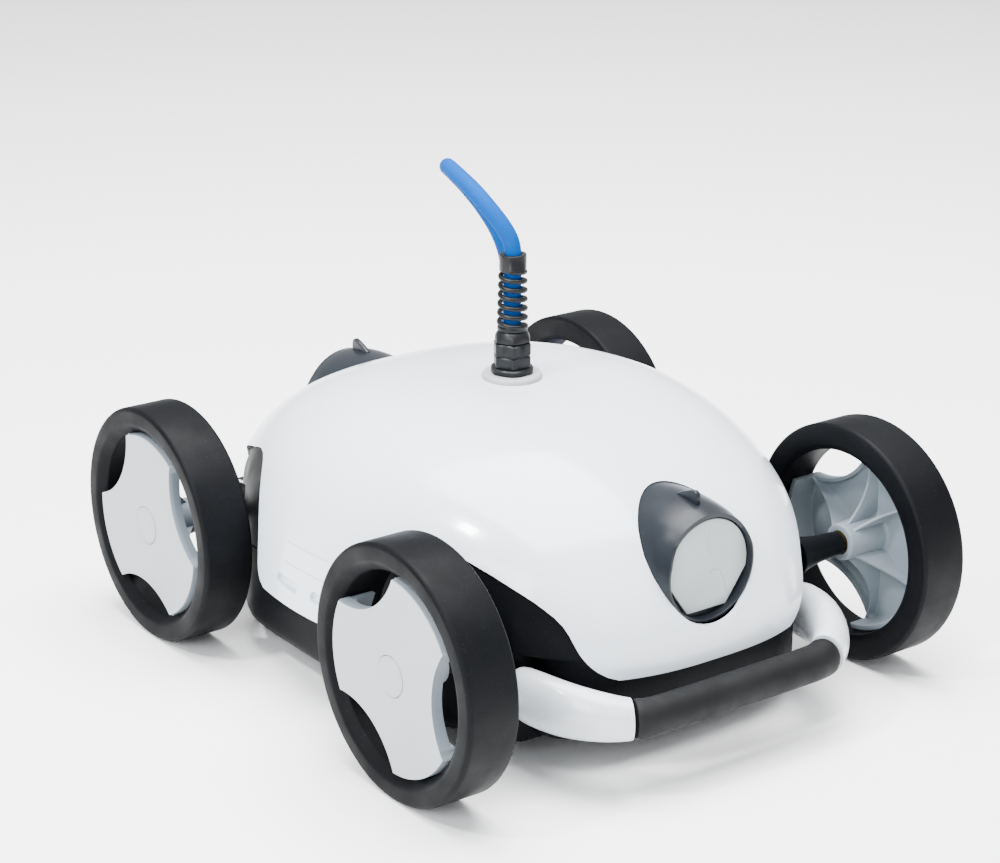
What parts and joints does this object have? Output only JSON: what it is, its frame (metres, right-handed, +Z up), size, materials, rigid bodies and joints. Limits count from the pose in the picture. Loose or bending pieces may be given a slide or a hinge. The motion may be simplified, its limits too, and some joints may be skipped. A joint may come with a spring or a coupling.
{
  "type": "pool cleaner",
  "caption": "Domed four-wheel jet-driven pool cleaner with swivel nozzles, bumper bars and a floating cable from a top gland",
  "frame": {"origin": "on the floor, midway between the four wheels and under the cable gland", "axes": "+X to the machine's right seen from its tail, -Y towards its front, +Z up"},
  "size_m": [0.5033, 0.6597, 0.2982],
  "materials": {
    "shell_white": "glossy moulded",
    "chassis_black": "satin moulded",
    "hood_grey": "satin moulded",
    "hub_grey": "satin moulded",
    "tyre": "worn matt rubber",
    "grip_rubber": "soft matt",
    "cable_blue": "smooth jacket",
    "propeller_blue": "moulded",
    "float_foam": "closed-cell foam",
    "shaft_steel": "ground",
    "bush_brass": "turned brass",
    "filter_mesh": "moulded mesh"
  },
  "bodies": {
    "chassis": {"chassis_tub": "chassis_black", "top_shell": "shell_white", "pump_deck": "chassis_black", "bottom_lid": "hood_grey", "filter_tray": "filter_mesh", "motor_pod": "chassis_black", "motor_cradle": "chassis_black", "thrust_duct_front": "chassis_black", "thrust_duct_rear": "chassis_black", "float_block_left": "float_foam", "float_block_right": "float_foam", "cable_collar": "hub_grey", "gland_body": "chassis_black", "gland_nut": "chassis_black", "gland_seal": "grip_rubber", "gland_locknut": "chassis_black", "strain_relief": "chassis_black", "cable_tube": "cable_blue", "cable_coil": "cable_blue", "cable_connector": "chassis_black", "bumper_grip_front": "grip_rubber", "bumper_grip_rear": "grip_rubber", "bumper_end_front_left": "shell_white", "bumper_end_front_right": "shell_white", "bumper_end_rear_left": "shell_white", "bumper_end_rear_right": "shell_white", "axle_arm_front_left": "chassis_black", "axle_arm_front_right": "chassis_black", "axle_arm_rear_left": "chassis_black", "axle_arm_rear_right": "chassis_black"},
    "wheel_front_left": {"tyre_front_left": "tyre", "hub_front_left": "hub_grey", "wheel_cap_front_left": "hub_grey", "wheel_bush_front_left": "bush_brass"},
    "wheel_front_right": {"tyre_front_right": "tyre", "hub_front_right": "hub_grey", "wheel_cap_front_right": "hub_grey", "wheel_bush_front_right": "bush_brass"},
    "wheel_rear_left": {"tyre_rear_left": "tyre", "hub_rear_left": "hub_grey", "wheel_cap_rear_left": "hub_grey", "wheel_bush_rear_left": "bush_brass"},
    "wheel_rear_right": {"tyre_rear_right": "tyre", "hub_rear_right": "hub_grey", "wheel_cap_rear_right": "hub_grey", "wheel_bush_rear_right": "bush_brass"},
    "nozzle_front": {"nozzle_hood_front": "hood_grey"},
    "outlet_front": {"outlet_flap_front": "hub_grey"},
    "intake_front": {"intake_flap_front": "hood_grey"},
    "latch_front": {"lid_latch_front": "hood_grey"},
    "nozzle_rear": {"nozzle_hood_rear": "hood_grey"},
    "outlet_rear": {"outlet_flap_rear": "hub_grey"},
    "intake_rear": {"intake_flap_rear": "hood_grey"},
    "latch_rear": {"lid_latch_rear": "hood_grey"},
    "drive_shaft": {"motor_shaft": "shaft_steel", "propeller_front": "propeller_blue", "propeller_rear": "propeller_blue"}
  },
  "joints": [
    {"name": "front_left_wheel_spin", "type": "hinge", "parent": "chassis", "child": "wheel_front_left", "pos_m": [-0.167, -0.136, 0.075], "axis": [1, 0, 0], "continuous": true},
    {"name": "front_right_wheel_spin", "type": "hinge", "parent": "chassis", "child": "wheel_front_right", "pos_m": [0.167, -0.136, 0.075], "axis": [1, 0, 0], "continuous": true},
    {"name": "rear_left_wheel_spin", "type": "hinge", "parent": "chassis", "child": "wheel_rear_left", "pos_m": [-0.167, 0.136, 0.075], "axis": [1, 0, 0], "continuous": true},
    {"name": "rear_right_wheel_spin", "type": "hinge", "parent": "chassis", "child": "wheel_rear_right", "pos_m": [0.167, 0.136, 0.075], "axis": [1, 0, 0], "continuous": true},
    {"name": "front_nozzle_swivel", "type": "hinge", "parent": "chassis", "child": "nozzle_front", "pos_m": [0, -0.128, 0.112], "axis": [0, -1, 0], "range_deg": [-30, 30]},
    {"name": "front_outlet_open", "type": "hinge", "parent": "nozzle_front", "child": "outlet_front", "pos_m": [0, -0.186, 0.1408], "axis": [-1, 0, 0], "range_deg": [0, 55]},
    {"name": "front_intake_open", "type": "hinge", "parent": "chassis", "child": "intake_front", "pos_m": [0, -0.054, 0.0163], "axis": [-1, 0, 0], "range_deg": [0, 60]},
    {"name": "front_latch_turn", "type": "hinge", "parent": "chassis", "child": "latch_front", "pos_m": [0, -0.125, 0.012], "axis": [0, 0, 1], "range_deg": [0, 90]},
    {"name": "rear_nozzle_swivel", "type": "hinge", "parent": "chassis", "child": "nozzle_rear", "pos_m": [0, 0.128, 0.112], "axis": [0, 1, 0], "range_deg": [-30, 30]},
    {"name": "rear_outlet_open", "type": "hinge", "parent": "nozzle_rear", "child": "outlet_rear", "pos_m": [0, 0.186, 0.1408], "axis": [1, 0, 0], "range_deg": [0, 55]},
    {"name": "rear_intake_open", "type": "hinge", "parent": "chassis", "child": "intake_rear", "pos_m": [0, 0.054, 0.0163], "axis": [1, 0, 0], "range_deg": [0, 60]},
    {"name": "rear_latch_turn", "type": "hinge", "parent": "chassis", "child": "latch_rear", "pos_m": [0, 0.125, 0.012], "axis": [0, 0, 1], "range_deg": [0, 90]},
    {"name": "propeller_spin", "type": "hinge", "parent": "chassis", "child": "drive_shaft", "pos_m": [0, 0, 0.112], "axis": [0, 1, 0], "continuous": true}
  ]
}
